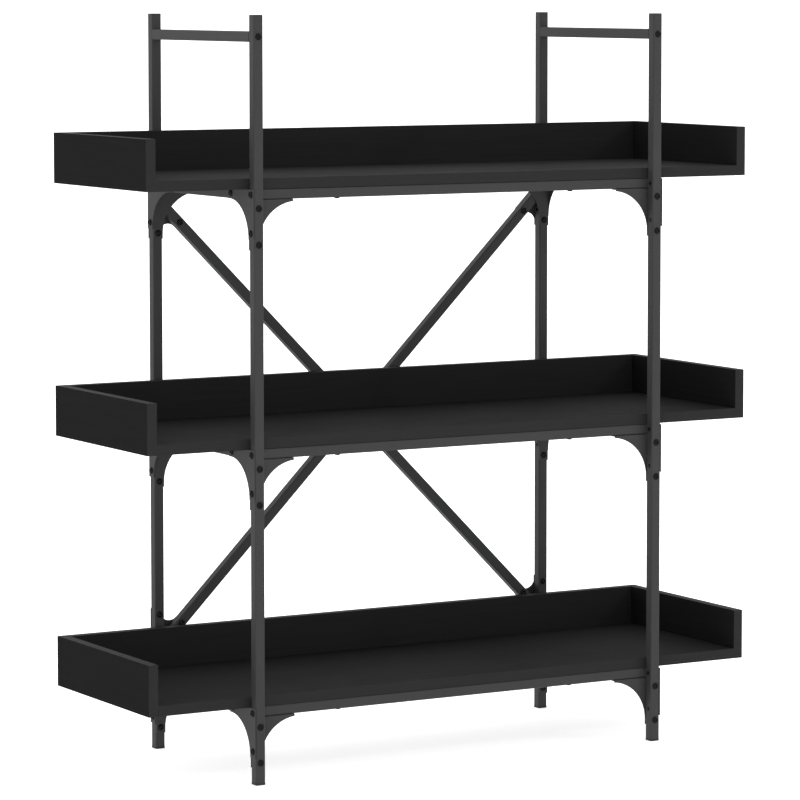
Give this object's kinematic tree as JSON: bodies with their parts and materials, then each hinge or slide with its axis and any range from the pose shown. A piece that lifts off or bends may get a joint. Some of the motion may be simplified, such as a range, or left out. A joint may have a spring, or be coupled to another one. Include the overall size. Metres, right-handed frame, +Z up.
{
  "type": "bookcase",
  "caption": "Open bookcase of square steel tube: walled black trays sit on bolted rails with curved corner gussets, and a cross brace stiffens the back.",
  "frame": {"origin": "on the floor, under the middle of the overall box", "axes": "+X along the trays to the right seen from the front, +Y from the open front to the walled back, +Z up"},
  "size_m": [1, 0.3398, 1.085],
  "materials": {
    "tube_paint": "charcoal powder coat, fine texture, semi-matt",
    "plate_paint": "charcoal powder coat, semi-matt",
    "black_laminate": "black melamine-faced board with a faint grain, satin",
    "black_plastic": "moulded black plastic, satin",
    "black_fastener": "blackened steel, slightly polished",
    "cam_zinc": "bright zinc, cast",
    "beech_dowel": "bare beech, fluted"
  },
  "bodies": {
    "root": {"bar_bolts": "black_fastener", "bar_inserts": "black_plastic", "bottom_back_board": "black_laminate", "bottom_back_rail": "tube_paint", "bottom_corner_webs": "plate_paint", "bottom_floor_board": "black_laminate", "bottom_front_rail": "tube_paint", "bottom_left_end_board": "black_laminate", "bottom_left_rail": "tube_paint", "bottom_right_end_board": "black_laminate", "bottom_right_rail": "tube_paint", "bottom_side_plates": "plate_paint", "brace_bolts": "black_fastener", "brace_nuts": "black_fastener", "bracket_screws": "black_fastener", "cam_bolts": "cam_zinc", "cam_locks": "cam_zinc", "cross_plate": "plate_paint", "dowels": "beech_dowel", "long_brace": "tube_paint", "lower_left_brace_plate": "plate_paint", "lower_right_brace_plate": "plate_paint", "lower_short_brace": "tube_paint", "middle_back_board": "black_laminate", "middle_back_rail": "tube_paint", "middle_corner_webs": "plate_paint", "middle_floor_board": "black_laminate", "middle_front_rail": "tube_paint", "middle_left_end_board": "black_laminate", "middle_left_rail": "tube_paint", "middle_right_end_board": "black_laminate", "middle_right_rail": "tube_paint", "middle_side_plates": "plate_paint", "post_back_left": "tube_paint", "post_back_right": "tube_paint", "post_caps": "black_plastic", "post_feet": "black_plastic", "post_front_left": "tube_paint", "post_front_right": "tube_paint", "shelf_screws": "black_fastener", "side_bolts": "black_fastener", "top_back_board": "black_laminate", "top_back_rail": "tube_paint", "top_bar_left": "tube_paint", "top_bar_right": "tube_paint", "top_corner_webs": "plate_paint", "top_floor_board": "black_laminate", "top_front_rail": "tube_paint", "top_left_end_board": "black_laminate", "top_left_rail": "tube_paint", "top_right_end_board": "black_laminate", "top_right_rail": "tube_paint", "top_side_plates": "plate_paint", "upper_left_brace_plate": "plate_paint", "upper_right_brace_plate": "plate_paint", "upper_short_brace": "tube_paint", "web_bolts": "black_fastener", "web_nuts": "black_fastener"}
  },
  "joints": []
}
